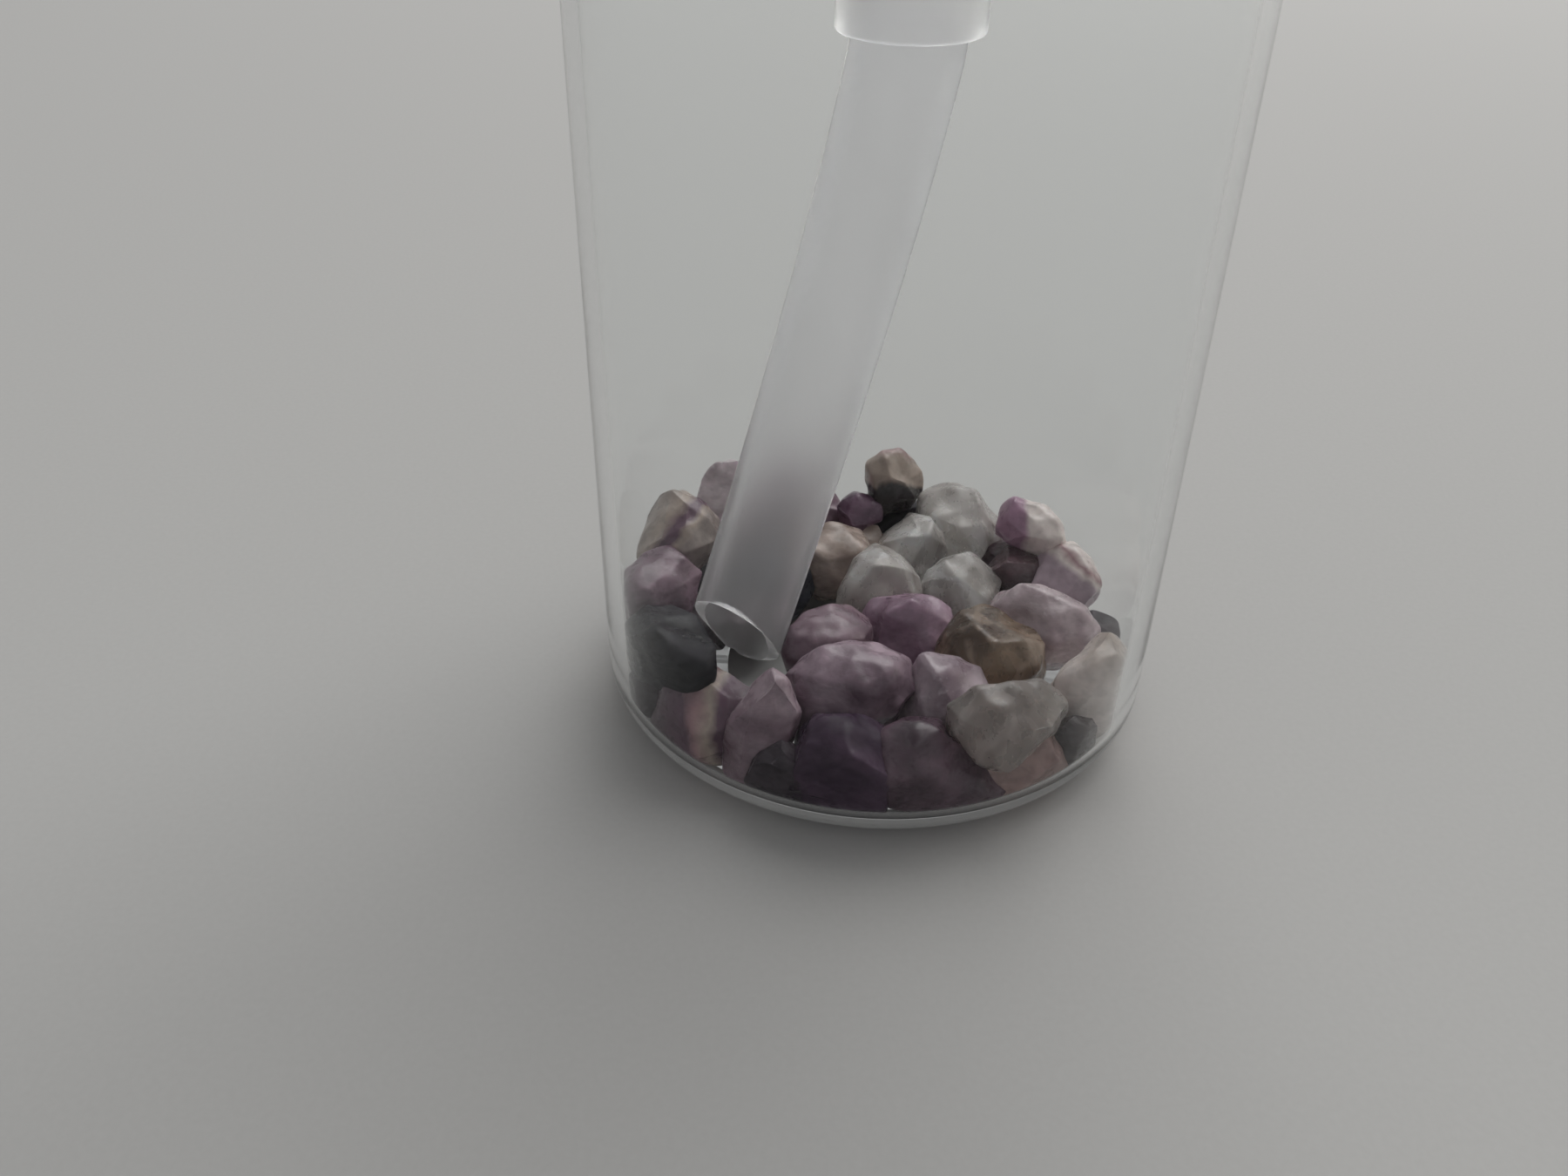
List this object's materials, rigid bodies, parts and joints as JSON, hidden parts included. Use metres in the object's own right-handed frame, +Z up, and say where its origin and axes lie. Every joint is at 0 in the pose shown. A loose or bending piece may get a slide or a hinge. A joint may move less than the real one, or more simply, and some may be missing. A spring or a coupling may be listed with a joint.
{
  "type": "mist spray bottle with amethyst chips",
  "caption": "Small clear cylindrical mist spray bottle with screw-on pump, bent dip tube, clear overcap and a bed of tumbled amethyst chips.",
  "frame": {"origin": "on the table, under the middle of the bottle", "axes": "+Z up along the bottle's axis; -Y towards the viewer of the picture, the way the nozzle faces"},
  "size_m": [0.036, 0.036, 0.1059],
  "materials": {
    "clear_pet": "clear, glossy, blow-moulded",
    "natural_pe": "milky translucent, satin",
    "natural_pp": "milky translucent, satin",
    "white_pp": "moulded, satin",
    "clear_ps": "clear, glossy",
    "grey_pe": "soft, matt",
    "steel": "bright drawn",
    "grape": "tumbled, polished, deep purple",
    "lilac": "tumbled, polished, pale lilac",
    "quartz": "tumbled, polished, greyish clear",
    "banded": "tumbled, polished, banded",
    "slate": "tumbled, polished, nearly black",
    "sand": "tumbled, polished, beige",
    "amber": "tumbled, polished, olive brown"
  },
  "bodies": {
    "bottle": {"bottle": "clear_pet", "amethyst_chip_01": "grape", "amethyst_chip_02": "lilac", "amethyst_chip_03": "grape", "amethyst_chip_04": "slate", "amethyst_chip_05": "quartz", "amethyst_chip_06": "grape", "amethyst_chip_07": "lilac", "amethyst_chip_08": "slate", "amethyst_chip_09": "sand", "amethyst_chip_10": "slate", "amethyst_chip_11": "sand", "amethyst_chip_12": "grape", "amethyst_chip_13": "grape", "amethyst_chip_14": "lilac", "amethyst_chip_15": "slate", "amethyst_chip_16": "banded", "amethyst_chip_17": "sand", "amethyst_chip_18": "slate", "amethyst_chip_19": "slate", "amethyst_chip_20": "grape", "amethyst_chip_21": "grape", "amethyst_chip_22": "sand", "amethyst_chip_23": "sand", "amethyst_chip_24": "grape", "amethyst_chip_25": "quartz", "amethyst_chip_26": "slate", "amethyst_chip_27": "quartz", "amethyst_chip_28": "quartz", "amethyst_chip_29": "grape", "amethyst_chip_30": "lilac", "amethyst_chip_31": "amber", "amethyst_chip_32": "grape", "amethyst_chip_33": "grape", "amethyst_chip_34": "lilac", "amethyst_chip_35": "quartz", "amethyst_chip_36": "banded", "amethyst_chip_37": "grape", "amethyst_chip_38": "lilac", "amethyst_chip_39": "grape", "amethyst_chip_40": "banded", "amethyst_chip_41": "banded", "amethyst_chip_42": "slate"},
    "pump": {"pump_housing": "natural_pp", "gasket": "grey_pe", "turret": "white_pp", "dip_tube": "natural_pe", "return_spring": "steel"},
    "closure": {"closure": "white_pp"},
    "actuator": {"actuator": "white_pp", "nozzle_insert": "white_pp", "stem": "natural_pp", "piston": "grey_pe"},
    "check_ball": {"check_ball": "steel"},
    "overcap": {"overcap": "clear_ps"}
  },
  "joints": [
    {"name": "pump_lift", "type": "slide", "parent": "bottle", "child": "pump", "axis": [0, 0, 1], "range_m": [0, 0.00477]},
    {"name": "closure_turn", "type": "hinge", "parent": "pump", "child": "closure", "pos_m": [0, 0, 0.077], "axis": [0, 0, 1], "range_deg": [0, 540]},
    {"name": "actuator_press", "type": "slide", "parent": "pump", "child": "actuator", "axis": [0, 0, 1], "range_m": [-0.0045, 0], "stiffness_N_per_m": 1200, "springref_m": 0.0033, "deforming": ["return_spring"]},
    {"name": "ball_lift", "type": "slide", "parent": "pump", "child": "check_ball", "axis": [0, 0, 1], "range_m": [0, 0.0012]},
    {"name": "overcap_off", "type": "slide", "parent": "closure", "child": "overcap", "axis": [0, 0, 1], "range_m": [0, 0.024]}
  ],
  "couplings": [
    {"joint": "pump_lift", "follows": "closure_turn", "m_per_rad": 0.00050532}
  ]
}
